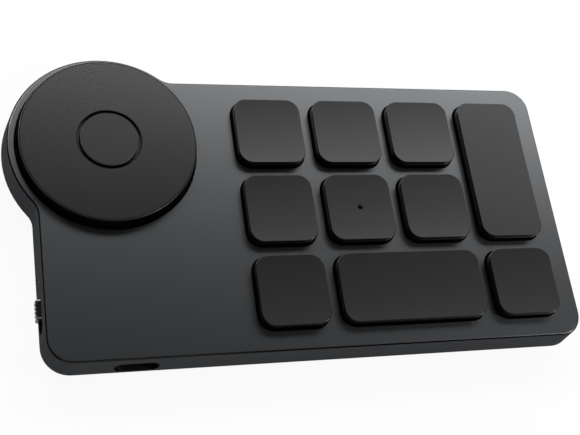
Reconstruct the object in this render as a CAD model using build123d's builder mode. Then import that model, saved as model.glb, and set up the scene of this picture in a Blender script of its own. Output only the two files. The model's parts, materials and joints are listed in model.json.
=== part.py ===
"""Shortcut remote: a slim key pad with ten low keys and a spinning dial in its back left corner.

The origin is on the table under the middle of the whole outline. +X runs along the length towards the
keys, +Y away from the user and +Z up.
"""
import os
from math import atan, cos, degrees, radians, sin, sqrt

from build123d import *

os.makedirs("parts", exist_ok=True)

# Shell
wall_height = 6.1
wall_flare = 0.65
base_height = 2.8
base_inset = 1.0
rim_step = 0.15
corner_radius = 4.9
wall = 1.3
plate_thickness = 1.3
top_edge_radius = 0.5
bottom_edge_radius = 0.3

# Dial and its centre button
dial_radius = 17.4
dial_gap = 0.2
dial_rise = 2.7
dial_wall = 1.2
dial_mouth_radius = 0.6
dial_rim = 0.15
dial_edge_radius = 0.1
lobe_rim = 1.26
lobe_inset_left_share = 0.7333
lobe_inset_back_share = 0.7451
lobe_blend_radius = 4.5
face_thickness = 0.8
face_edge_break = 0.12
face_fit = 0.03
web_thickness = 1.4
button_radius = 5.78
button_groove = 0.55
button_travel = 0.8
button_edge_radius = 0.15
button_roof = 1.4
button_wall = 1.2
button_flange = 0.55
button_flange_thickness = 0.8
stem_radius = 1.8

# Key grid
key_columns = 4
key_rows = 3
key_pitch_x = 17.09
key_pitch_y = 17.38
key_spacing = 2.75
key_corner_radius = 2.85
key_edge_radius = 0.15
key_dish = 0.2
key_rise = 2.13
key_mouth_radius = 0.32
key_gap = 0.12
key_travel = 1.0
key_wall = 1.2
key_roof = 1.2
key_flange = 0.9
key_flange_thickness = 0.9
key_margin_right = 5.165
key_margin_front = 4.415
key_margin_back = 4.745
dial_key_gap = 8.05
dot_radius = 0.52
dot_rise = 0.22

# Bottom cover, feet and screws
cover_thickness = 1.2
cover_gap = 0.1
foot_proud = 0.3
foot_recess = 0.5
foot_radius = 4.0
foot_inset = 9.5
screw_radius = 0.75
screw_fit = 0.03
screw_head_radius = 1.35
screw_head_height = 0.5
screw_length = 3.2
cover_screw_length = 4.6
screw_recess = 0.75
screw_drive_radius = 0.55
screw_drive_depth = 0.3
boss_radius = 1.5
boss_inset = 3.6
standoff_radius = 1.9

# Board and what is soldered to it
board_standoff = 2.5
board_thickness = 0.8
board_gap = 0.6
switch_size = 6.2
switch_height = 2.2
switch_floor = 0.2
plunger_radius = 1.7
plunger_overtravel = 0.2
running_fit = 0.06
moving_gap = 0.1

# Dial bearing, encoder and detent
carrier_thickness = 1.0
sleeve_radius = 7.4
sleeve_bore_fit = 0.1
sleeve_drop = 0.4
flange_gap = 0.3
hub_wall = 0.8
clip_thickness = 0.45
clip_width = 1.1
clip_groove = 0.35
clip_fit = 0.05
clip_opening = 5.0
encoder_wall = 0.9
encoder_slots = 24
encoder_slot_width = 1.2
encoder_slot_height = 1.6
sensor_width = 4.0
sensor_arm = 0.8
sensor_air = 0.4
sensor_base = 1.4
sensor_reach = 2.0
detent_notches = 24
detent_radius = 0.5
spring_thickness = 0.25
spring_height = 1.2
spring_sweep = 50.0
spring_post_radius = 0.9
spring_gap = 0.2
carrier_screws_count = 3
carrier_screw_gap = 0.35
carrier_screw_first_angle = -30.0
sensor_angle = 30.0
detent_angle = 150.0

# Inlet in the front wall, at the height that all the openings in the walls share
port_height = 2.45
usb_inset = 16.73
usb_slot_width = 8.7
usb_slot_height = 3.4
usb_skin = 0.6
usb_shell_width = 8.94
usb_shell_height = 3.26
usb_shell_wall = 0.3
usb_shell_length = 7.0
usb_tongue_width = 6.6
usb_tongue_thickness = 0.7
usb_tongue_length = 4.4
usb_block_length = 1.6
usb_gap = 0.1

# Slide switch and status light in the left wall
slider_slot_length = 6.65
slider_slot_height = 2.6
slider_slot_radius = 0.8
slider_slot_centre = 10.35
slider_travel = 2.0
knob_length = 4.0
knob_height = 2.2
knob_proud = 0.9
knob_ribs = 5
knob_rib_depth = 0.3
knob_retainer = 0.8
knob_retainer_thickness = 0.8
lever_length = 1.6
lever_height = 0.8
lever_reach = 1.6
lever_fit = 0.08
power_body_width = 3.0
power_body_height = 1.8
power_body_wall = 0.4
lens_radius = 0.5
lens_fit = 0.03
lens_centre = 17.3
lens_head_radius = 0.95
lens_head_thickness = 0.6
led_size = 1.0
led_height = 0.7

# Battery and chips
battery_width = 29.0
battery_depth = 40.0
battery_pad_thickness = 0.3
battery_edge_radius = 0.8
battery_top_gap = 0.2
tab_width = 3.0
tab_thickness = 0.15
tab_pitch = 9.0
tab_reach = 3.0
module_width = 10.0
module_depth = 13.0
module_height = 1.7
chip_size = 6.0
chip_height = 0.9
charger_size = 3.0
charger_height = 0.8
chip_edge = 0.2
chip_front_inset = 25.0
module_front_inset = 13.5
charger_gap = 6.0

# Outline worked out from the sizes above
key_width = key_pitch_x - key_spacing
key_depth = key_pitch_y - key_spacing
hole_radius = dial_radius + dial_gap
mouth_radius = hole_radius + dial_mouth_radius
lobe_radius = mouth_radius + lobe_rim
skirt_radius = dial_radius - dial_wall
dial_inset_left = lobe_radius * lobe_inset_left_share
dial_inset_back = lobe_radius * lobe_inset_back_share
overhang_left = lobe_radius - dial_inset_left
overhang_back = lobe_radius - dial_inset_back
dial_to_keys = mouth_radius + dial_key_gap + key_width / 2
grid_length = (key_columns - 1) * key_pitch_x
grid_depth = (key_rows - 1) * key_pitch_y
body_height = base_height + wall_height
body_length = dial_inset_left + dial_to_keys + grid_length + key_width / 2 + key_margin_right
body_depth = grid_depth + key_depth + key_margin_front + key_margin_back
body_x = overhang_left / 2
body_y = -overhang_back / 2
left = body_x - body_length / 2
right = body_x + body_length / 2
front = body_y - body_depth / 2
back = body_y + body_depth / 2
dial_x = left + dial_inset_left
dial_y = back - dial_inset_back
first_column = dial_x + dial_to_keys
first_row = back - key_margin_back - key_depth / 2
dial_axis = Axis((dial_x, dial_y, 0), (0, 0, 1))
dial_section = Plane((dial_x, dial_y, 0), x_dir=(1, 0, 0), z_dir=(0, -1, 0))

# Levels
z_base = foot_proud
z_rim = z_base + base_height
z_port = z_rim + port_height
z_cover = z_base + cover_thickness
z_board = z_cover + board_standoff
z_solder = z_board + board_thickness
z_plate = z_base + body_height
z_ceiling = z_plate - plate_thickness
z_key_top = z_plate + key_rise
z_dial_top = z_plate + dial_rise
z_face_seat = z_dial_top - face_thickness
z_web = z_face_seat - web_thickness
z_carrier = z_solder + carrier_thickness
z_switch_top = z_solder + switch_height
z_sleeve_top = z_face_seat - sleeve_drop

# The sloping wall: its draft, and where its outer face stands at the height of the openings
wall_draft = degrees(atan(wall_flare / wall_height))
cover_height = base_height - cover_gap
cover_draft = degrees(atan((base_inset + wall_flare - rim_step) / cover_height))
port_flare = wall_flare * (wall_height - port_height) / wall_height
left_skin = left - port_flare
front_skin = front - port_flare

# The places that several pieces share
strip_x = (dial_x + mouth_radius + first_column - key_width / 2 - key_flange) / 2
boss_places = [
    (right - boss_inset, front + boss_inset),
    (right - boss_inset, back - boss_inset),
    (left + boss_inset, front + boss_inset),
    (strip_x, front + boss_inset),
    (strip_x, back - boss_inset),
]
grid_centre = (first_column + grid_length / 2, first_row - grid_depth / 2)
board_screw_grid = GridLocations((key_columns - 2) * key_pitch_x, key_pitch_y, 2, 2)
board_screw_places = [(grid_centre[0] + place.position.X, grid_centre[1] + place.position.Y)
                      for place in board_screw_grid]
carrier_circle = skirt_radius - screw_head_radius - carrier_screw_gap
carrier_screw_ring = PolarLocations(carrier_circle, carrier_screws_count, carrier_screw_first_angle)
carrier_screw_places = [(dial_x + place.position.X, dial_y + place.position.Y)
                        for place in carrier_screw_ring]
foot_grid = GridLocations(body_length - 2 * foot_inset, body_depth - 2 * foot_inset, 2, 2)
foot_places = [(body_x + place.position.X, body_y + place.position.Y) for place in foot_grid]
usb_x = left + usb_inset
slot_y = front + slider_slot_centre
knob_y = slot_y + slider_travel / 2
lens_y = front + lens_centre
chip_x = (usb_x + usb_shell_width / 2 + first_column - key_width / 2 - key_flange) / 2

# Each key: name, column, row from the back, columns wide, rows deep
keys = [
    ("key_01", 0, 0, 1, 1),
    ("key_02", 1, 0, 1, 1),
    ("key_03", 2, 0, 1, 1),
    ("tall_key", 3, 0, 1, 2),
    ("key_05", 0, 1, 1, 1),
    ("key_06", 1, 1, 1, 1),
    ("key_07", 2, 1, 1, 1),
    ("key_08", 0, 2, 1, 1),
    ("wide_key", 1, 2, 2, 1),
    ("key_10", 3, 2, 1, 1),
]
dotted_key = "key_06"


def key_centre(column, row, columns, rows):
    """Plan position of the middle of a key."""
    x = first_column + (column + (columns - 1) / 2) * key_pitch_x
    y = first_row - (row + (rows - 1) / 2) * key_pitch_y
    return x, y


def key_size(columns, rows):
    """Plan size of a key cap at its base."""
    return key_width + (columns - 1) * key_pitch_x, key_depth + (rows - 1) * key_pitch_y


def switch_places(column, row, columns, rows):
    """One switch under the middle of each grid cell that the key covers."""
    return [key_centre(column + i, row + j, 1, 1) for i in range(columns) for j in range(rows)]


def draw_outline(sketch, inset):
    """The case's plan outline: a rounded rectangle joined to the dial's lobe by two hollow blends."""
    with Locations((body_x, body_y)):
        RectangleRounded(body_length - 2 * inset, body_depth - 2 * inset, corner_radius - inset)
    with Locations((dial_x, dial_y)):
        Circle(lobe_radius - inset)
    left_reach = sqrt((lobe_radius - inset) ** 2 - (dial_inset_left - inset) ** 2)
    back_reach = sqrt((lobe_radius - inset) ** 2 - (dial_inset_back - inset) ** 2)
    left_notch = sketch.vertices().sort_by_distance((left + inset, dial_y - left_reach, 0))[0]
    back_notch = sketch.vertices().sort_by_distance((dial_x + back_reach, back - inset, 0))[0]
    fillet([left_notch, back_notch], lobe_blend_radius + inset)


def dial_level(z, angle=0):
    """A level plane centred on the dial's axis, with its X axis turned by the angle."""
    return Plane((dial_x, dial_y, z)).rotated((0, 0, angle))


def save(piece, name):
    """Labels a finished piece and writes it as a node of that name."""
    piece.part.label = name
    export_step(piece.part, f"parts/{name}.step")


def plate_mouths(case):
    """Outlines of the openings in the plate's top face, the dial's last."""
    plate_face = case.faces().filter_by(Plane.XY).sort_by(Axis.Z)[-1]
    return plate_face.inner_wires().sort_by(SortBy.LENGTH)


# Top case: plate and walls in one moulding, the walls sloping outwards to the rim, rounded openings
with BuildPart() as top_case:
    with BuildSketch(Plane.XY.offset(z_rim)) as outer:
        draw_outline(outer, -wall_flare)
    extrude(amount=wall_height, taper=wall_draft)
    fillet(top_case.faces().sort_by(Axis.Z)[-1].edges(), top_edge_radius)
    fillet(top_case.faces().sort_by(Axis.Z)[0].edges(), bottom_edge_radius)
    with BuildSketch(Plane.XY.offset(z_rim)) as cavity:
        draw_outline(cavity, wall)
    extrude(amount=wall_height - plate_thickness, mode=Mode.SUBTRACT)
    with BuildSketch(Plane.XY.offset(z_cover)) as bosses:
        with Locations(*boss_places):
            Circle(boss_radius)
    extrude(amount=z_ceiling - z_cover)
    with BuildSketch(Plane.XY.offset(z_cover)) as pilot_holes:
        with Locations(*boss_places):
            Circle(screw_radius + screw_fit)
    extrude(amount=cover_screw_length, mode=Mode.SUBTRACT)
    with BuildSketch(Plane.XY.offset(z_ceiling)) as openings:
        with Locations((dial_x, dial_y)):
            Circle(hole_radius)
        for name, column, row, columns, rows in keys:
            width, depth = key_size(columns, rows)
            with Locations(key_centre(column, row, columns, rows)):
                RectangleRounded(width + 2 * key_gap, depth + 2 * key_gap, key_corner_radius + key_gap)
    extrude(amount=plate_thickness, mode=Mode.SUBTRACT)
    fillet(plate_mouths(top_case)[-1].edges(), dial_mouth_radius)
    fillet([edge for mouth in plate_mouths(top_case)[:-1] for edge in mouth.edges()], key_mouth_radius)
    with BuildSketch(Plane.XZ.offset(wall_flare - front)) as inlet:
        with Locations((usb_x, z_port)):
            SlotOverall(usb_slot_width, usb_slot_height)
    extrude(amount=-wall_flare - wall, mode=Mode.SUBTRACT)
    with BuildSketch(Plane.XZ.offset(-front_skin - usb_skin)) as inlet_pocket:
        with Locations((usb_x, z_port)):
            SlotOverall(usb_shell_width + 2 * usb_gap, usb_shell_height + 2 * usb_gap)
    extrude(amount=-wall, mode=Mode.SUBTRACT)
    with BuildSketch(Plane.YZ.offset(left - wall_flare)) as side_openings:
        with Locations((slot_y, z_port)):
            RectangleRounded(slider_slot_length, slider_slot_height, slider_slot_radius)
        with Locations((lens_y, z_port)):
            Circle(lens_radius + lens_fit)
    extrude(amount=wall_flare + wall, mode=Mode.SUBTRACT)
save(top_case, "top_case")

# Bottom cover: a shallow tray that tucks in under the rim, with standoffs for the board and the carrier
with BuildPart() as bottom_cover:
    with BuildSketch(Plane.XY.offset(z_base)) as cover_plan:
        draw_outline(cover_plan, base_inset)
    extrude(amount=cover_height, taper=-cover_draft)
    fillet(bottom_cover.faces().sort_by(Axis.Z)[0].edges(), bottom_edge_radius)
    with BuildSketch(Plane.XY.offset(z_cover)) as tray:
        draw_outline(tray, wall)
    extrude(amount=base_height, mode=Mode.SUBTRACT)
    with BuildSketch(Plane.XY.offset(z_cover)) as standoffs:
        with Locations(*board_screw_places, *carrier_screw_places):
            Circle(standoff_radius)
    extrude(amount=board_standoff)
    with BuildSketch(Plane.XY.offset(z_board)) as standoff_holes:
        with Locations(*board_screw_places, *carrier_screw_places):
            Circle(screw_radius + screw_fit)
    extrude(amount=-board_standoff, mode=Mode.SUBTRACT)
    with BuildSketch(Plane.XY.offset(z_base)) as foot_recesses:
        with Locations(*foot_places):
            Circle(foot_radius + cover_gap)
    extrude(amount=foot_recess, mode=Mode.SUBTRACT)
    with BuildSketch(Plane.XY.offset(z_base)) as head_recesses:
        with Locations(*boss_places):
            Circle(screw_head_radius + cover_gap)
    extrude(amount=screw_recess, mode=Mode.SUBTRACT)
    with BuildSketch(Plane.XY.offset(z_base)) as clearance_holes:
        with Locations(*boss_places):
            Circle(screw_radius + screw_fit)
    extrude(amount=cover_thickness, mode=Mode.SUBTRACT)
save(bottom_cover, "bottom_cover")

# Feet
with BuildPart() as foot_pads:
    with BuildSketch() as foot_plan:
        with Locations(*foot_places):
            Circle(foot_radius)
    extrude(amount=foot_proud + foot_recess)
save(foot_pads, "foot_pads")


def make_screws(name, places, seat, length, side):
    """Pan head screws at the places, heads bearing on the seat level, shanks on the other side of it."""
    with BuildPart() as screws:
        with BuildSketch(Plane.XY.offset(seat)) as heads:
            with Locations(*places):
                Circle(screw_head_radius)
        extrude(amount=side * screw_head_height)
        with BuildSketch(Plane.XY.offset(seat)) as shanks:
            with Locations(*places):
                Circle(screw_radius)
        extrude(amount=-side * length)
        with BuildSketch(Plane.XY.offset(seat + side * screw_head_height)) as drives:
            with Locations(*places):
                RegularPolygon(screw_drive_radius, 6)
        extrude(amount=-side * screw_drive_depth, mode=Mode.SUBTRACT)
    save(screws, name)


make_screws("cover_screws", boss_places, z_base + screw_recess, cover_screw_length, -1)
make_screws("board_screws", board_screw_places, z_solder, screw_length, 1)
make_screws("carrier_screws", carrier_screw_places, z_carrier, screw_length, 1)

# Main board
with BuildPart() as main_board:
    with BuildSketch(Plane.XY.offset(z_board)) as board_plan:
        draw_outline(board_plan, wall + board_gap)
        with Locations(*boss_places):
            Circle(boss_radius + board_gap, mode=Mode.SUBTRACT)
        with Locations(*board_screw_places, *carrier_screw_places):
            Circle(screw_radius + screw_fit, mode=Mode.SUBTRACT)
        with Locations((usb_x, front_skin)):
            Rectangle(usb_shell_width + 2 * usb_gap, 2 * (usb_skin + usb_shell_length + usb_gap),
                      mode=Mode.SUBTRACT)
        with Locations((left, slot_y)):
            Rectangle(2 * (wall + knob_retainer_thickness + lever_reach),
                      knob_length + 2 * knob_retainer + slider_travel + 2 * board_gap, mode=Mode.SUBTRACT)
        with Locations((left, lens_y)):
            Rectangle(2 * (wall + lens_head_thickness + moving_gap),
                      2 * (lens_head_radius + moving_gap), mode=Mode.SUBTRACT)
    extrude(amount=board_thickness)
save(main_board, "main_board")


def make_switches(name, places):
    """Switch housings on the board, each with a bore for its plunger."""
    with BuildPart() as housings:
        with BuildSketch(Plane.XY.offset(z_solder)) as housing_plan:
            with Locations(*places):
                RectangleRounded(switch_size, switch_size, switch_floor)
        extrude(amount=switch_height)
        chamfer(housings.faces().filter_by(Plane.XY).group_by(Axis.Z)[-1].edges(), switch_floor)
        with BuildSketch(Plane.XY.offset(z_switch_top)) as bores:
            with Locations(*places):
                Circle(plunger_radius + running_fit)
        extrude(amount=switch_floor - switch_height, mode=Mode.SUBTRACT)
    save(housings, name)


def make_plungers(name, places, travel):
    """Plungers that stand in their housings with room below for the travel."""
    z_foot = z_solder + switch_floor + travel + plunger_overtravel
    z_head = z_switch_top + travel + plunger_overtravel
    with BuildPart() as plungers:
        with BuildSketch(Plane.XY.offset(z_foot)) as plunger_plan:
            with Locations(*places):
                Circle(plunger_radius)
        extrude(amount=z_head - z_foot)
    save(plungers, name)


def make_key(name, column, row, columns, rows):
    """A hollow key cap: dished top, flange under the plate, stem over each switch."""
    width, depth = key_size(columns, rows)
    dish_radius = ((depth / 2) ** 2 + key_dish ** 2) / (2 * key_dish)
    z_dish = z_key_top - key_dish
    z_skirt = z_ceiling - moving_gap - key_flange_thickness
    z_stem = z_switch_top + key_travel + plunger_overtravel
    centre = key_centre(column, row, columns, rows)
    with BuildPart() as cap:
        with BuildSketch(Plane.XY.offset(z_skirt)) as cap_plan:
            with Locations(centre):
                RectangleRounded(width, depth, key_corner_radius)
        extrude(amount=z_key_top + key_dish - z_skirt)
        with Locations((centre[0], centre[1], z_dish + dish_radius)):
            Cylinder(dish_radius, 2 * width, rotation=(0, 90, 180), mode=Mode.SUBTRACT)
        fillet(cap.faces().sort_by(Axis.Z)[-1].edges(), key_edge_radius)
        with BuildSketch(Plane.XY.offset(z_skirt)) as flange_plan:
            with Locations(centre):
                RectangleRounded(width + 2 * key_flange, depth + 2 * key_flange,
                                 key_corner_radius + key_flange)
        extrude(amount=key_flange_thickness)
        with BuildSketch(Plane.XY.offset(z_skirt)) as hollow_plan:
            with Locations(centre):
                RectangleRounded(width - 2 * key_wall, depth - 2 * key_wall, key_corner_radius - key_wall)
        extrude(amount=z_key_top - key_roof - z_skirt, mode=Mode.SUBTRACT)
        with BuildSketch(Plane.XY.offset(z_stem)) as stem_plan:
            with Locations(*switch_places(column, row, columns, rows)):
                Circle(stem_radius)
        extrude(amount=z_key_top - key_roof - z_stem)
        if name == dotted_key:
            dot_sphere = (dot_radius ** 2 + dot_rise ** 2) / (2 * dot_rise)
            with Locations((centre[0], centre[1], z_dish + dot_rise - dot_sphere)):
                Sphere(dot_sphere)
    save(cap, f"{name}_cap")


# Keys, their plungers and their switch housings
all_switch_places = []
for key in keys:
    make_key(*key)
    make_plungers(f"{key[0]}_plunger", switch_places(*key[1:]), key_travel)
    all_switch_places += switch_places(*key[1:])
make_switches("key_switches", all_switch_places)

# Centre button, its plunger and its switch
make_switches("button_switch", [(dial_x, dial_y)])
make_plungers("button_plunger", [(dial_x, dial_y)], button_travel)
button_stem = z_switch_top + button_travel + plunger_overtravel
z_button_skirt = z_switch_top + button_travel
z_button_flange = z_button_skirt + button_flange_thickness
with BuildPart() as button_cap:
    with BuildSketch(dial_level(z_button_skirt)) as button_plan:
        Circle(button_radius)
    extrude(amount=z_dial_top - z_button_skirt)
    fillet(button_cap.faces().sort_by(Axis.Z)[-1].edges(), button_edge_radius)
    with BuildSketch(dial_level(z_button_skirt)) as button_flange_plan:
        Circle(button_radius + button_flange)
    extrude(amount=button_flange_thickness)
    with BuildSketch(dial_level(z_button_skirt)) as button_hollow:
        Circle(button_radius - button_wall)
    extrude(amount=z_dial_top - button_roof - z_button_skirt, mode=Mode.SUBTRACT)
    with BuildSketch(dial_level(button_stem)) as button_stem_plan:
        Circle(stem_radius)
    extrude(amount=z_dial_top - button_roof - button_stem)
save(button_cap, "button_cap")

# Dial carrier: base plate on the board, bearing sleeve, spring posts and a window for the sensor
hub_radius = sleeve_radius + running_fit
button_bore = button_radius + sleeve_bore_fit
flange_bore = button_radius + button_flange + flange_gap
clip_inner = sleeve_radius - clip_groove + clip_fit
clip_outer = clip_inner + clip_width
clip_recess = clip_outer + flange_gap
hub_outer = clip_recess + hub_wall
z_flange_stop = z_button_flange + moving_gap
z_clip = z_web
z_encoder = z_carrier + spring_height + spring_gap
encoder_radius = (hub_outer + skirt_radius + encoder_wall) / 2
encoder_bore = encoder_radius - encoder_wall
sensor_inner = encoder_bore - sensor_air - sensor_arm
sensor_outer = encoder_radius + sensor_air + sensor_arm
sensor_radius = (sensor_inner + sensor_outer) / 2
sensor_depth = sensor_outer - sensor_inner
spring_end_x = carrier_circle * cos(radians(spring_sweep / 2))
spring_end_y = carrier_circle * sin(radians(spring_sweep / 2))
nose_circle = skirt_radius - spring_gap - detent_radius


def draw_spring(width):
    """The bowed detent spring's plan, in a sketch whose X axis points along its nose."""
    with BuildLine() as bow:
        ThreePointArc((spring_end_x, -spring_end_y), (nose_circle, 0), (spring_end_x, spring_end_y))
    trace(bow.line, width)


with BuildPart() as dial_carrier:
    with BuildSketch(dial_level(z_solder)) as carrier_plan:
        Circle(skirt_radius)
    extrude(amount=carrier_thickness)
    with BuildSketch(dial_level(z_carrier)) as sleeve_plan:
        Circle(sleeve_radius)
    extrude(amount=z_sleeve_top - z_carrier)
    with BuildSketch(dial_level(z_solder)) as flange_bore_plan:
        Circle(flange_bore)
    extrude(amount=z_flange_stop - z_solder, mode=Mode.SUBTRACT)
    with BuildSketch(dial_level(z_flange_stop)) as button_bore_plan:
        Circle(button_bore)
    extrude(amount=z_sleeve_top - z_flange_stop, mode=Mode.SUBTRACT)
    with BuildSketch(dial_level(z_clip - clip_fit)) as groove_plan:
        Circle(sleeve_radius + clip_groove)
        Circle(sleeve_radius - clip_groove, mode=Mode.SUBTRACT)
    extrude(amount=clip_thickness + 2 * clip_fit, mode=Mode.SUBTRACT)
    with BuildSketch(dial_level(z_carrier, detent_angle)) as post_plan:
        with Locations((spring_end_x, -spring_end_y), (spring_end_x, spring_end_y)):
            Circle(spring_post_radius)
    extrude(amount=spring_height)
    with BuildSketch(dial_level(z_carrier, detent_angle)) as spring_slit:
        draw_spring(spring_thickness + 2 * clip_fit)
    extrude(amount=spring_height, mode=Mode.SUBTRACT)
    with BuildSketch(dial_level(z_solder, sensor_angle)) as window_plan:
        with Locations((sensor_radius, 0)):
            Rectangle(sensor_depth + 2 * flange_gap, sensor_width + 2 * flange_gap)
    extrude(amount=carrier_thickness, mode=Mode.SUBTRACT)
    with BuildSketch(Plane.XY.offset(z_solder)) as carrier_holes:
        with Locations(*carrier_screw_places):
            Circle(screw_radius + screw_fit)
    extrude(amount=carrier_thickness, mode=Mode.SUBTRACT)
save(dial_carrier, "dial_carrier")

# Dial wheel: rim, web and hub, with detent notches inside its skirt
with BuildPart() as dial_wheel:
    with BuildSketch(dial_section) as wheel_profile:
        with BuildLine():
            Polyline(
                (dial_radius, z_carrier + flange_gap),
                (dial_radius, z_dial_top),
                (dial_radius - dial_rim, z_dial_top),
                (dial_radius - dial_rim, z_face_seat),
                (clip_recess, z_face_seat),
                (clip_recess, z_clip - moving_gap),
                (hub_radius, z_clip - moving_gap),
                (hub_radius, z_carrier + moving_gap),
                (hub_outer, z_carrier + moving_gap),
                (hub_outer, z_web),
                (skirt_radius, z_web),
                (skirt_radius, z_carrier + flange_gap),
                close=True,
            )
        make_face()
    revolve(axis=dial_axis)
    rim_edges = dial_wheel.edges().filter_by(GeomType.CIRCLE).group_by(Axis.Z)[-1]
    fillet(rim_edges.sort_by(SortBy.RADIUS)[-1], dial_edge_radius)
    with BuildSketch(dial_level(z_carrier + flange_gap)) as notch_plan:
        with PolarLocations(skirt_radius, detent_notches, detent_angle):
            Circle(detent_radius)
    extrude(amount=z_web - z_carrier - flange_gap, mode=Mode.SUBTRACT)
save(dial_wheel, "dial_wheel")

# Dial face: the turned ring set into the top of the wheel
with BuildPart() as dial_face:
    with BuildSketch(dial_level(z_face_seat)) as face_plan:
        Circle(dial_radius - dial_rim - face_fit)
        Circle(button_radius + button_groove, mode=Mode.SUBTRACT)
    extrude(amount=face_thickness)
    chamfer(dial_face.faces().sort_by(Axis.Z)[-1].edges(), face_edge_break)
save(dial_face, "dial_face")

# Retaining clip: an open ring in the sleeve's groove, over the hub
with BuildPart() as retaining_clip:
    with BuildSketch(dial_level(z_clip)) as clip_plan:
        Circle(clip_outer)
        Circle(clip_inner, mode=Mode.SUBTRACT)
        with Locations((clip_outer, 0)):
            Rectangle(2 * clip_outer - 2 * clip_inner + clip_width, clip_opening, mode=Mode.SUBTRACT)
    extrude(amount=clip_thickness)
save(retaining_clip, "retaining_clip")

# Encoder ring under the web, with light slots along its lower edge
with BuildPart() as encoder_ring:
    with BuildSketch(dial_level(z_encoder)) as encoder_plan:
        Circle(encoder_radius)
        Circle(encoder_bore, mode=Mode.SUBTRACT)
    extrude(amount=z_web - z_encoder)
    with BuildSketch(dial_level(z_encoder)) as slot_plan:
        with PolarLocations(encoder_radius, encoder_slots):
            Rectangle(4 * encoder_wall, encoder_slot_width)
    extrude(amount=encoder_slot_height, mode=Mode.SUBTRACT)
save(encoder_ring, "encoder_ring")

# Encoder sensor: a fork on the board that straddles the ring
with BuildPart() as encoder_sensor:
    with BuildSketch(dial_level(z_solder, sensor_angle)) as fork_plan:
        with Locations((sensor_radius, 0)):
            Rectangle(sensor_depth, sensor_width)
    extrude(amount=sensor_base + sensor_reach)
    with BuildSketch(dial_level(z_solder + sensor_base, sensor_angle)) as fork_gap:
        with Locations((sensor_radius, 0)):
            Rectangle(sensor_depth - 2 * sensor_arm, sensor_width)
    extrude(amount=sensor_reach, mode=Mode.SUBTRACT)
save(encoder_sensor, "encoder_sensor")

# Detent spring: a bowed strip with a rounded nose, clear of the notches
with BuildPart() as detent_spring:
    with BuildSketch(dial_level(z_carrier + clip_fit, detent_angle)) as spring_plan:
        draw_spring(spring_thickness)
        with Locations((nose_circle, 0)):
            Circle(detent_radius)
    extrude(amount=spring_height - clip_fit)
save(detent_spring, "detent_spring")

# Inlet: metal shell and the insert with its contact tongue
inlet_face = Plane.XZ.offset(-front_skin - usb_skin)
with BuildPart() as usb_shell:
    with BuildSketch(inlet_face) as shell_plan:
        with Locations((usb_x, z_port)):
            SlotOverall(usb_shell_width, usb_shell_height)
            SlotOverall(usb_shell_width - 2 * usb_shell_wall, usb_shell_height - 2 * usb_shell_wall,
                        mode=Mode.SUBTRACT)
    extrude(amount=-usb_shell_length)
save(usb_shell, "usb_shell")

with BuildPart() as usb_insert:
    with BuildSketch(inlet_face.offset(-usb_shell_length)) as block_plan:
        with Locations((usb_x, z_port)):
            SlotOverall(usb_shell_width - 2 * usb_shell_wall - 2 * screw_fit,
                        usb_shell_height - 2 * usb_shell_wall - 2 * screw_fit)
    extrude(amount=usb_block_length)
    with BuildSketch(inlet_face.offset(usb_block_length - usb_shell_length)) as tongue_plan:
        with Locations((usb_x, z_port)):
            Rectangle(usb_tongue_width, usb_tongue_thickness)
    extrude(amount=usb_tongue_length)
save(usb_insert, "usb_insert")

# Slide switch: ribbed knob through the wall, lever and body on the board
retainer_face = left + wall + moving_gap
retainer_back = retainer_face + knob_retainer_thickness
rib_pitch = knob_length / knob_ribs
rib_roots = left_skin - knob_proud + knob_rib_depth
lever_z = z_solder + power_body_height / 2
lever_socket = knob_retainer_thickness / 2
power_body_left = retainer_back + lever_reach + moving_gap
with BuildPart() as power_knob:
    with BuildSketch(Plane.XY.offset(z_port - knob_height / 2)) as knob_plan:
        with Locations(((rib_roots + retainer_face) / 2, knob_y)):
            Rectangle(retainer_face - rib_roots, knob_length)
        with Locations((rib_roots, knob_y)):
            with GridLocations(0, rib_pitch, 1, knob_ribs):
                Circle(knob_rib_depth)
    extrude(amount=knob_height)
    with BuildSketch(Plane.YZ.offset(retainer_face)) as retainer_plan:
        with Locations((knob_y, z_port)):
            Rectangle(knob_length + 2 * knob_retainer, knob_height + 2 * knob_retainer)
    extrude(amount=knob_retainer_thickness)
    with BuildSketch(Plane.YZ.offset(retainer_back)) as socket_plan:
        with Locations((knob_y, lever_z)):
            Rectangle(lever_length + 2 * lever_fit, lever_height + 2 * lever_fit)
    extrude(amount=-lever_socket, mode=Mode.SUBTRACT)
save(power_knob, "power_knob")

with BuildPart() as power_lever:
    with BuildSketch(Plane.YZ.offset(retainer_back - lever_socket + lever_fit)) as lever_plan:
        with Locations((knob_y, lever_z)):
            Rectangle(lever_length, lever_height)
    extrude(amount=power_body_left + power_body_width / 2 - retainer_back + lever_socket - lever_fit)
save(power_lever, "power_lever")

with BuildPart() as power_switch_body:
    with BuildSketch(Plane.XY.offset(z_solder)) as power_body_plan:
        with Locations((power_body_left + power_body_width / 2, slot_y)):
            Rectangle(power_body_width, lever_length + slider_travel + 2 * flange_gap + 2 * power_body_wall)
    extrude(amount=power_body_height)
    with BuildSketch(Plane.YZ.offset(power_body_left)) as lever_slot:
        with Locations((slot_y, lever_z)):
            Rectangle(lever_length + slider_travel + 2 * flange_gap, lever_height + 2 * lever_fit)
    extrude(amount=power_body_width - power_body_wall, mode=Mode.SUBTRACT)
save(power_switch_body, "power_switch_body")

# Status light: lens pressed into the wall, and its source on the board
with BuildPart() as status_lens:
    with BuildSketch(Plane.YZ.offset(left_skin + lens_fit)) as lens_plan:
        with Locations((lens_y, z_port)):
            Circle(lens_radius)
    extrude(amount=wall + port_flare - lens_fit)
    with BuildSketch(Plane.YZ.offset(left + wall)) as lens_head_plan:
        with Locations((lens_y, z_port)):
            Circle(lens_head_radius)
    extrude(amount=lens_head_thickness)
save(status_lens, "status_lens")

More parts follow.
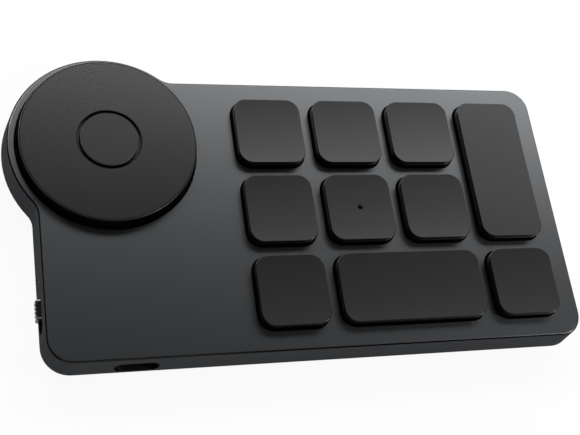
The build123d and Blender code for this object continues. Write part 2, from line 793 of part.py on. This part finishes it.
with BuildPart() as status_led:
    with BuildSketch(Plane.XY.offset(z_solder)) as led_plan:
        with Locations((left + wall + lens_head_thickness + 2 * moving_gap + led_size / 2, lens_y)):
            Rectangle(led_size, led_size)
    extrude(amount=led_height)
save(status_led, "status_led")

# Battery: a pouch on its adhesive pad, with two tabs up to the board
battery_bottom = z_cover + battery_pad_thickness
battery_height = z_board - battery_top_gap - battery_bottom
battery_front = grid_centre[1] - battery_depth / 2
with BuildPart() as battery_pad:
    with BuildSketch(Plane.XY.offset(z_cover)) as pad_plan:
        with Locations(grid_centre):
            Rectangle(battery_width - 2 * battery_edge_radius, battery_depth - 2 * battery_edge_radius)
    extrude(amount=battery_pad_thickness)
save(battery_pad, "battery_pad")

with BuildPart() as battery:
    with BuildSketch(Plane.XY.offset(battery_bottom)) as battery_plan:
        with Locations(grid_centre):
            Rectangle(battery_width, battery_depth)
    extrude(amount=battery_height)
    fillet(battery.edges().filter_by(Axis.Y), battery_edge_radius)
save(battery, "battery")

with BuildPart() as battery_tabs:
    with BuildSketch(Plane.XY.offset(z_board - tab_thickness)) as tab_feet:
        with Locations((grid_centre[0], battery_front - tab_reach / 2)):
            with GridLocations(tab_pitch, 0, 2, 1):
                Rectangle(tab_width, tab_reach)
    extrude(amount=tab_thickness)
    with BuildSketch(Plane.XY.offset(battery_bottom + battery_height / 2)) as tab_legs:
        with Locations((grid_centre[0], battery_front - tab_thickness / 2)):
            with GridLocations(tab_pitch, 0, 2, 1):
                Rectangle(tab_width, tab_thickness)
    extrude(amount=z_board - battery_bottom - battery_height / 2)
save(battery_tabs, "battery_tabs")


def make_chip(name, place, width, depth, height):
    """A flat component soldered to the top of the board."""
    with BuildPart() as chip:
        with BuildSketch(Plane.XY.offset(z_solder)) as chip_plan:
            with Locations(place):
                Rectangle(width, depth)
        extrude(amount=height)
        chamfer(chip.faces().sort_by(Axis.Z)[-1].edges(), chip_edge)
    save(chip, name)


charger_y = front + usb_skin + usb_shell_length + charger_gap
make_chip("wireless_module", (chip_x, front + module_front_inset), module_width, module_depth, module_height)
make_chip("controller_chip", (chip_x, front + chip_front_inset), chip_size, chip_size, chip_height)
make_chip("charger_chip", (usb_x, charger_y), charger_size, charger_size, charger_height)
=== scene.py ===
"""Shortcut remote: finishes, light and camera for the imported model."""
import json
from math import pi, radians

import bpy
from mathutils import Matrix, Vector


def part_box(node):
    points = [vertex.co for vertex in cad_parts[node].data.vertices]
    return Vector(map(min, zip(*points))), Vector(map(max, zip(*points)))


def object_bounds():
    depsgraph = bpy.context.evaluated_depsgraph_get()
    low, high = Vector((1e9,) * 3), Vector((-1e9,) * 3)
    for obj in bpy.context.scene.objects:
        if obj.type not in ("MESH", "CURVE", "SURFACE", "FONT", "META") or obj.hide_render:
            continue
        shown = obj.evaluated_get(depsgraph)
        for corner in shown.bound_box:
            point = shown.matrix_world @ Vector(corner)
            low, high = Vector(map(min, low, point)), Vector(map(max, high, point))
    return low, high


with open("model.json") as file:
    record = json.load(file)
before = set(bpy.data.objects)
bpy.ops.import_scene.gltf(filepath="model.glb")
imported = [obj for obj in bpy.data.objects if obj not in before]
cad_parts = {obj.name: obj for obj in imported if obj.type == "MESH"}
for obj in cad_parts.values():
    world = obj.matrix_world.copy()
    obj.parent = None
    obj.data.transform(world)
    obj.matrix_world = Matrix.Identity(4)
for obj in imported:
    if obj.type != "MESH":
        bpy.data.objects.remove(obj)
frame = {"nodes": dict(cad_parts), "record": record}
cad_box = [list(corner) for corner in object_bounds()]

# Camera: place and nearest view in metres, turn in degrees, lens and film in millimetres
eye = (-0.0747543, -0.0868179, 0.2040552)
eye_turn = (24.460123, -16.730833, -8.498811)
nearest_view = 0.01
lens_length = 68.511486
film_width = 36.0

# Floor and world: levels from 0 to 1, lengths in metres
world_level = 0.10
floor_white = 0.93
floor_grey = 0.86
floor_reach = 4.0
floor_drop = 0.0001

# Colours
white = (1.0, 1.0, 1.0, 1.0)
black = (0.012, 0.012, 0.0125)
case_top = (0.0745, 0.0775, 0.0805)
# Darker colour painted on the case's rounded edges as shade
case_edge_painted_shade = (0.030, 0.031, 0.032)
case_wall = (0.072, 0.075, 0.079)
key_top = (0.006, 0.006, 0.0062)
# Darker colour painted on the key walls as shade
key_side_painted_shade = (0.002, 0.002, 0.0021)
turned_metal = (0.034, 0.034, 0.035)
wheel_dark = (0.0025, 0.0025, 0.0026)
wheel_light = (0.0035, 0.0035, 0.0036)
wheel_cut = (0.05, 0.05, 0.051)
button_dark = (0.0055, 0.0055, 0.0056)
button_light = (0.0065, 0.0065, 0.0066)
button_cut = (0.06, 0.06, 0.061)
slider_dark = (0.008, 0.008, 0.0083)
# Pale colour of the painted highlight lines on the slider
slider_painted_highlight = (0.75, 0.75, 0.75)

# Marks on the pieces, and the painted highlight lines across the slider, in metres
dot_reach = 0.0005
dot_blur = 0.0001
groove_pitch = 0.00042
cut_depth = 0.0001
line_blur = 0.00002
slider_retainer = 0.0008
# Width and places of the painted highlight lines on the slider
back_highlight_width = 0.0003
front_highlight_start = 0.00028
front_highlight_end = 0.00052


# Node helpers: each returns the socket that the next one reads

def new_material(name):
    """A material with an empty Principled shader: (material, node tree, shader)."""
    made = bpy.data.materials.new(name)
    made.use_nodes = True
    tree = made.node_tree
    return made, tree, tree.nodes["Principled BSDF"]


def place(tree):
    """Position on the piece, in metres."""
    return tree.nodes.new("ShaderNodeTexCoord").outputs["Object"]


def part_along(tree, vector, axis):
    """The part of a vector along one axis."""
    node = tree.nodes.new("ShaderNodeSeparateXYZ")
    tree.links.new(vector, node.inputs[0])
    return node.outputs[axis]


def vector_maths(tree, operation, first, second=(0.0, 0.0, 0.0)):
    """One sum of a vector and a plain vector, or the length of a vector."""
    node = tree.nodes.new("ShaderNodeVectorMath")
    node.operation = operation
    tree.links.new(first, node.inputs[0])
    node.inputs[1].default_value = second
    return node.outputs["Value" if operation == "LENGTH" else "Vector"]


def away_from(tree, centre):
    """Level distance from an upright axis, in metres."""
    offset = vector_maths(tree, "SUBTRACT", place(tree), centre)
    level = vector_maths(tree, "MULTIPLY", offset, (1.0, 1.0, 0.0))
    return vector_maths(tree, "LENGTH", level)


def noise(tree, scale, detail=2.0, vector=None):
    """Cloudy noise from 0 to 1, so many blobs to a metre."""
    node = tree.nodes.new("ShaderNodeTexNoise")
    tree.links.new(vector or place(tree), node.inputs["Vector"])
    node.inputs["Scale"].default_value = scale
    node.inputs["Detail"].default_value = detail
    return node.outputs["Fac"]


def ramp(tree, source, stops):
    """Colours along a value: stops are (position, (r, g, b))."""
    node = tree.nodes.new("ShaderNodeValToRGB")
    tree.links.new(source, node.inputs["Fac"])
    elements = node.color_ramp.elements
    while len(elements) < len(stops):
        elements.new(0.5)
    for element, (position, colour) in zip(elements, stops):
        element.position = position
        element.color = (*colour, 1.0)
    return node.outputs["Color"]


def spread(tree, source, low, high, start=0.3, end=0.7):
    """Maps start..end of a value to low..high: where no ends are given, the middle of a noise."""
    node = tree.nodes.new("ShaderNodeMapRange")
    tree.links.new(source, node.inputs["Value"])
    node.inputs["From Min"].default_value = start
    node.inputs["From Max"].default_value = end
    node.inputs["To Min"].default_value = low
    node.inputs["To Max"].default_value = high
    return node.outputs["Result"]


def between(tree, share, low, high):
    """From low where a share is 0 to high where it is 1."""
    return spread(tree, share, low, high, start=0.0, end=1.0)


def step(tree, source, start, end):
    """0 up to the start of a stretch and 1 from its end."""
    return spread(tree, source, 0.0, 1.0, start, end)


def maths(tree, operation, first, second=0.0):
    """One sum of two values, either of which may be a plain number."""
    node = tree.nodes.new("ShaderNodeMath")
    node.operation = operation
    for socket, value in zip(node.inputs, (first, second)):
        if isinstance(value, (int, float)):
            socket.default_value = value
        else:
            tree.links.new(value, socket)
    return node.outputs[0]


def times(tree, first, second):
    """Product of two values."""
    return maths(tree, "MULTIPLY", first, second)


def plus(tree, first, second):
    """Sum of two values."""
    return maths(tree, "ADD", first, second)


def facing_up(tree, start, end):
    """0 on walls and 1 on faces that look up, from one upward part of the normal to another."""
    normal = tree.nodes.new("ShaderNodeNewGeometry").outputs["Normal"]
    return step(tree, part_along(tree, normal, "Z"), start, end)


def relief(tree, shader, height, depth, below=None):
    """Presses a height field of that depth in metres into the surface."""
    node = tree.nodes.new("ShaderNodeBump")
    node.inputs["Distance"].default_value = depth
    tree.links.new(height, node.inputs["Height"])
    if below is not None:
        tree.links.new(below, node.inputs["Normal"])
    tree.links.new(node.outputs["Normal"], shader.inputs["Normal"])
    return node.outputs["Normal"]


def set_plain(shader, metal=0.0, gloss=0.5):
    """Values that are the same all over a surface."""
    shader.inputs["Metallic"].default_value = metal
    shader.inputs["Specular IOR Level"].default_value = gloss


def shade(colour, factor):
    """A colour made lighter or darker."""
    return tuple(min(1.0, channel * factor) for channel in colour)


def corners_of(node):
    """Lowest and highest corner of a piece's box."""
    low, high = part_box(node)
    return Vector(low), Vector(high)


def middle_of(node):
    """Middle of a piece's box."""
    low, high = corners_of(node)
    return (low + high) / 2


# Finishes: scales are blobs to a metre, depths are metres

def moulded(name, colour, rough, grain=5000.0, depth=0.000004, tone=0.08, **plain):
    """Moulded plastic, rubber or foil: slight tone drift, fine grain and uneven gloss."""
    drift_scale = 90.0
    uneven = 0.12
    made, tree, shader = new_material(name)
    drift = noise(tree, drift_scale, detail=3.0)
    speck = noise(tree, grain)
    colours = ramp(tree, drift, [(0.3, shade(colour, 1 - tone)), (0.7, shade(colour, 1 + tone))])
    tree.links.new(colours, shader.inputs["Base Color"])
    gloss = spread(tree, speck, low=rough * (1 - uneven), high=min(1.0, rough * (1 + uneven)))
    tree.links.new(gloss, shader.inputs["Roughness"])
    relief(tree, shader, speck, depth)
    set_plain(shader, **plain)
    return made


def steel(name, colour, rough, stretch=(1.0, 30.0, 30.0)):
    """Drawn or turned metal with fine lines along one axis."""
    line_scale = 400.0
    line_depth = 0.000003
    made, tree, shader = new_material(name)
    lines = noise(tree, line_scale, detail=3.0, vector=vector_maths(tree, "MULTIPLY", place(tree), stretch))
    colours = ramp(tree, lines, [(0.3, shade(colour, 0.85)), (0.7, shade(colour, 1.1))])
    tree.links.new(colours, shader.inputs["Base Color"])
    tree.links.new(spread(tree, lines, low=rough * 0.8, high=rough * 1.3), shader.inputs["Roughness"])
    relief(tree, shader, lines, line_depth)
    set_plain(shader, metal=1.0)
    return made


def case_paint(name):
    """Case: satin metallic paint on the plate, polished edges painted darker as shade, and plain walls, with
    flake and orange peel.
    """
    flake_scale = 14000.0
    flake_tone = 0.06
    flake_rough = 0.03
    flake_depth = 0.0000006
    drift_scale = 45.0
    drift_tone = 0.04
    peel_scale = 2600.0
    peel_depth = 0.0000015
    wall_rough = 0.55
    plate_rough = 0.315
    edge_polish = 0.15
    shaded_edge_stop = 0.5
    plate_stop = 0.9
    made, tree, shader = new_material(name)
    top = facing_up(tree, start=0.35, end=0.65)
    flat = facing_up(tree, start=0.93, end=0.99)
    edge = maths(tree, "SUBTRACT", top, flat)
    flake = noise(tree, flake_scale, detail=1.0)
    drift = noise(tree, drift_scale, detail=3.0)
    peel = noise(tree, peel_scale)
    uneven = plus(tree, times(tree, flake, flake_tone), times(tree, drift, drift_tone))
    plate_tone = times(tree, flat, plus(tree, uneven, plate_stop - shaded_edge_stop))
    tone = plus(tree, times(tree, top, shaded_edge_stop), plate_tone)
    # Walls, rounded edges with painted shade, then the plate
    colours = ramp(tree, tone, [
        (0.0, case_wall),
        (shaded_edge_stop, case_edge_painted_shade),
        (plate_stop, shade(case_top, 0.9)),
        (1.0, shade(case_top, 1.1)),
    ])
    tree.links.new(colours, shader.inputs["Base Color"])
    tree.links.new(top, shader.inputs["Metallic"])
    rough = between(tree, top, wall_rough, plate_rough)
    rough = plus(tree, spread(tree, flake, low=-flake_rough, high=flake_rough), rough)
    rough = maths(tree, "SUBTRACT", rough, times(tree, edge, edge_polish))
    tree.links.new(rough, shader.inputs["Roughness"])
    soft = relief(tree, shader, peel, peel_depth)
    relief(tree, shader, flake, flake_depth, below=soft)
    set_plain(shader, gloss=0.0)
    return made


def key_plastic(name, dotted=None):
    """Key caps: fine matt texture on top, polished sides painted darker as shade, and a polished touch dot on
    a dotted key that takes the same darker colour.
    """
    speck_scale = 9000.0
    speck_depth = 0.000003
    drift_scale = 120.0
    side_rough = 0.15
    top_rough = 0.32
    made, tree, shader = new_material(name)
    top = facing_up(tree, start=0.975, end=0.995)
    if dotted:
        beside_dot = step(tree, away_from(tree, middle_of(dotted)), dot_reach, dot_reach + dot_blur)
        top = times(tree, top, beside_dot)
        tree.links.new(between(tree, beside_dot, 1.0, 0.0), shader.inputs["Metallic"])
    speck = noise(tree, speck_scale)
    drift = noise(tree, drift_scale)
    # Walls and the touch dot take the darker colour as painted shade
    tone = times(tree, top, spread(tree, drift, low=0.86, high=1.0))
    colours = ramp(tree, tone, [(0.0, key_side_painted_shade), (0.8, shade(key_top, 0.95)), (1.0, shade(key_top, 1.05))])
    tree.links.new(colours, shader.inputs["Base Color"])
    rough = times(tree, between(tree, top, side_rough, top_rough), spread(tree, speck, low=0.92, high=1.08))
    tree.links.new(rough, shader.inputs["Roughness"])
    relief(tree, shader, times(tree, speck, top), speck_depth)
    set_plain(shader, gloss=0.32)
    return made


def turned_face(name, node):
    """A lathe-turned ring: fine concentric grooves that differ a little in depth."""
    cut_scale = 12000.0
    cut_share = 0.5
    groove_depth = 0.000002
    made, tree, shader = new_material(name)
    radius = away_from(tree, middle_of(node))
    wave = maths(tree, "SINE", times(tree, radius, 2 * pi / groove_pitch))
    cuts = tree.nodes.new("ShaderNodeTexNoise")
    cuts.noise_dimensions = "1D"
    tree.links.new(radius, cuts.inputs["W"])
    cuts.inputs["Scale"].default_value = cut_scale
    cuts.inputs["Detail"].default_value = 2.0
    height = plus(tree, wave, times(tree, cuts.outputs["Fac"], cut_share))
    tone = step(tree, wave, -1.0, 1.0)
    colours = ramp(tree, tone, [(0.0, shade(turned_metal, 0.8)), (1.0, shade(turned_metal, 1.2))])
    tree.links.new(colours, shader.inputs["Base Color"])
    tree.links.new(spread(tree, cuts.outputs["Fac"], low=0.28, high=0.295), shader.inputs["Roughness"])
    relief(tree, shader, height, groove_depth)
    set_plain(shader, metal=1.0)
    return made


def dial_black(name, node):
    """Polished black wheel with a duller bare cut line round its top edge."""
    drift_scale = 90.0
    speck_scale = 3000.0
    speck_depth = 0.0000004
    cut_share = 0.9
    drift_share = 0.1
    cut_rough = 0.15
    made, tree, shader = new_material(name)
    cut_foot = corners_of(node)[1].z - cut_depth
    cut = step(tree, part_along(tree, place(tree), "Z"), cut_foot - line_blur, cut_foot)
    drift = noise(tree, drift_scale, detail=3.0)
    speck = noise(tree, speck_scale)
    tone = plus(tree, times(tree, cut, cut_share), times(tree, drift, drift_share))
    colours = ramp(tree, tone, [(0.0, wheel_dark), (drift_share, wheel_light), (cut_share, wheel_cut)])
    tree.links.new(colours, shader.inputs["Base Color"])
    tree.links.new(cut, shader.inputs["Metallic"])
    rough = plus(tree, spread(tree, speck, low=0.16, high=0.20), times(tree, cut, cut_rough))
    tree.links.new(rough, shader.inputs["Roughness"])
    relief(tree, shader, speck, speck_depth)
    set_plain(shader, gloss=0.3)
    return made


def button_satin(name):
    """Satin push button with a bare cut line round its edge."""
    speck_scale = 9000.0
    speck_depth = 0.000002
    cut_rough = 0.40
    top_rough = 0.36
    made, tree, shader = new_material(name)
    level = facing_up(tree, start=0.90, end=0.98)
    speck = noise(tree, speck_scale)
    tone = times(tree, level, spread(tree, speck, low=0.9, high=1.0))
    colours = ramp(tree, tone, [(0.0, button_cut), (0.9, button_dark), (1.0, button_light)])
    tree.links.new(colours, shader.inputs["Base Color"])
    tree.links.new(between(tree, level, 1.0, 0.0), shader.inputs["Metallic"])
    rough = times(tree, between(tree, level, cut_rough, top_rough), spread(tree, speck, low=0.92, high=1.08))
    tree.links.new(rough, shader.inputs["Roughness"])
    relief(tree, shader, times(tree, speck, level), speck_depth)
    set_plain(shader, gloss=0.30)
    return made


def slider_with_painted_highlights(name, node):
    """Dark polished slider with a painted highlight line across its back end and a fainter painted highlight
    near its front end.
    """
    speck_scale = 6000.0
    speck_depth = 0.000002
    faint_highlight = 0.35
    made, tree, shader = new_material(name)
    low, high = corners_of(node)
    back_highlight_from = high.y - slider_retainer - back_highlight_width
    front_highlight_from = low.y + slider_retainer + front_highlight_start
    front_highlight_to = low.y + slider_retainer + front_highlight_end
    length = part_along(tree, place(tree), "Y")
    back_painted_highlight = step(tree, length, back_highlight_from - line_blur, back_highlight_from)
    rise = spread(tree, length, 0.0, faint_highlight, front_highlight_from, front_highlight_from + line_blur)
    fall = spread(tree, length, 1.0, 0.0, front_highlight_to, front_highlight_to + line_blur)
    front_painted_highlight = times(tree, rise, fall)
    speck = noise(tree, speck_scale)
    # Painted highlights: a pale line at the slider's back end and a fainter one near its front end
    tone = maths(tree, "MAXIMUM", back_painted_highlight, front_painted_highlight)
    colours = ramp(tree, tone, [(0.0, slider_dark), (1.0, slider_painted_highlight)])
    tree.links.new(colours, shader.inputs["Base Color"])
    tree.links.new(spread(tree, speck, low=0.20, high=0.24), shader.inputs["Roughness"])
    relief(tree, shader, speck, speck_depth)
    set_plain(shader, gloss=0.4)
    return made


def floor_paint(name):
    """Pale floor that the camera and mirror-like surfaces see as white, with the object's shadow kept."""
    made, tree, shader = new_material(name)
    tree.nodes.remove(shader)
    rays = tree.nodes.new("ShaderNodeLightPath").outputs
    seen = maths(tree, "MAXIMUM", rays["Is Camera Ray"], rays["Is Glossy Ray"])
    seen = maths(tree, "MAXIMUM", seen, rays["Is Transmission Ray"])
    matt = tree.nodes.new("ShaderNodeBsdfDiffuse")
    matt.inputs["Color"].default_value = (floor_grey, floor_grey, floor_grey, 1.0)
    glow = tree.nodes.new("ShaderNodeEmission")
    glow.inputs["Color"].default_value = white
    glow.inputs["Strength"].default_value = 1.0
    mix = tree.nodes.new("ShaderNodeMixShader")
    tree.links.new(times(tree, seen, floor_white), mix.inputs["Fac"])
    tree.links.new(matt.outputs[0], mix.inputs[1])
    tree.links.new(glow.outputs[0], mix.inputs[2])
    tree.links.new(mix.outputs[0], tree.nodes["Material Output"].inputs["Surface"])
    return made


# One finish for each of the record's material slots, and one more for the key with the touch dot
finishes = {
    "case_shell": case_paint("case_shell"),
    "key_plastic": key_plastic("key_plastic"),
    "dotted_key": key_plastic("dotted_key", dotted="key_06_cap"),
    "dial_turned": turned_face("dial_turned", "dial_face"),
    "dial_gloss": dial_black("dial_gloss", "dial_wheel"),
    "button_plastic": button_satin("button_plastic"),
    "knob_plastic": slider_with_painted_highlights("knob_plastic", "power_knob"),
}
moulded_finishes = {
    "cover_plastic": dict(colour=(0.016, 0.016, 0.017), rough=0.55, grain=4500.0, depth=0.000012),
    "foot_rubber": dict(colour=black, rough=0.85, grain=3500.0, depth=0.00002, tone=0.15),
    "circuit_board": dict(colour=(0.006, 0.045, 0.022), rough=0.35, grain=1800.0, depth=0.00001, tone=0.3),
    "switch_plastic": dict(colour=(0.018, 0.018, 0.019), rough=0.5),
    "plunger_plastic": dict(colour=(0.55, 0.54, 0.50), rough=0.45),
    "carrier_plastic": dict(colour=(0.03, 0.03, 0.032), rough=0.5, depth=0.000008),
    "chip_plastic": dict(colour=black, rough=0.42, grain=7000.0, depth=0.000005),
    "usb_plastic": dict(colour=black, rough=0.5),
    "lens_plastic": dict(colour=(0.004, 0.004, 0.0045), rough=0.12, depth=0.0000005),
    "pad_foam": dict(colour=(0.05, 0.05, 0.052), rough=0.9, grain=2500.0, depth=0.00006, tone=0.25),
    "battery_foil": dict(colour=(0.42, 0.42, 0.43), rough=0.35, grain=900.0, depth=0.00003, metal=0.6),
}
steel_finishes = {
    "screw_steel": dict(colour=(0.10, 0.10, 0.105), rough=0.32, stretch=(1.0, 1.0, 12.0)),
    "spring_steel": dict(colour=(0.55, 0.55, 0.57), rough=0.28),
    "usb_steel": dict(colour=(0.05, 0.05, 0.052), rough=0.35, stretch=(30.0, 1.0, 30.0)),
}
for slot, values in moulded_finishes.items():
    finishes[slot] = moulded(slot, **values)
for slot, values in steel_finishes.items():
    finishes[slot] = steel(slot, **values)

finish_of = {part["node"]: part["material_slot"] for part in frame["record"]["subparts"]}
finish_of["key_06_cap"] = "dotted_key"
for name, thing in frame["nodes"].items():
    for index in range(len(thing.data.materials)):
        thing.data.materials[index] = finishes[finish_of[name]]


def add_thing(name, data):
    """A new object in the scene."""
    thing = bpy.data.objects.new(name, data)
    bpy.context.scene.collection.objects.link(thing)
    return thing


# Floor under the feet
floor_mesh = bpy.data.meshes.new("floor")
floor_corners = [(x * floor_reach, y * floor_reach, 0) for x, y in ((-1, -1), (1, -1), (1, 1), (-1, 1))]
floor_mesh.from_pydata(floor_corners, [], [(0, 1, 2, 3)])
floor = add_thing("floor", floor_mesh)
floor.location.z = cad_box[0][2] - floor_drop
floor.data.materials.append(floor_paint("floor"))


# Lamps and world

def softbox(name, spot, lengthwise, length, width, radiance):
    """A flat soft lamp that looks at the object, with its length along a direction."""
    lamp = bpy.data.lights.new(name, "AREA")
    lamp.shape = "RECTANGLE"
    lamp.size = length
    lamp.size_y = width
    lamp.energy = radiance * pi * length * width
    thing = add_thing(name, lamp)
    thing.location = spot
    back = Vector(spot).normalized()
    side = (Vector(lengthwise) - back * back.dot(Vector(lengthwise))).normalized()
    thing.rotation_euler = Matrix((side, back.cross(side), back)).transposed().to_euler()


softbox("lamp_back", (0.135, 0.397, 0.44), (1.0, -0.05, 0.10), length=0.94, width=0.20, radiance=6.2)
softbox("lamp_right", (0.43, -0.12, 0.40), (0.34, -0.42, -0.43), length=0.25, width=0.04, radiance=36.0)
softbox("lamp_left", (-0.27, 0.36, 0.39), (-0.46, 0.12, -0.48), length=0.24, width=0.03, radiance=32.0)
softbox("lamp_low", (0.32, 0.58, 0.16), (0.85, -0.45, 0.0), length=0.60, width=0.12, radiance=6.0)
softbox("lamp_fill", (-0.10, -0.62, 0.44), (1.0, 0.0, 0.0), length=0.60, width=0.60, radiance=0.5)

world = bpy.data.worlds.new("studio")
world.use_nodes = True
world.node_tree.nodes["Background"].inputs["Color"].default_value = white
world.node_tree.nodes["Background"].inputs["Strength"].default_value = world_level
bpy.context.scene.world = world

# Camera at the photograph's viewing angle
camera = bpy.data.cameras.new("camera")
camera.sensor_fit = "HORIZONTAL"
camera.sensor_width = film_width
camera.lens = lens_length
camera.clip_start = nearest_view
camera_thing = add_thing("camera", camera)
camera_thing.location = eye
camera_thing.rotation_euler = [radians(angle) for angle in eye_turn]
bpy.context.scene.camera = camera_thing
bpy.context.scene.view_settings.view_transform = "Standard"
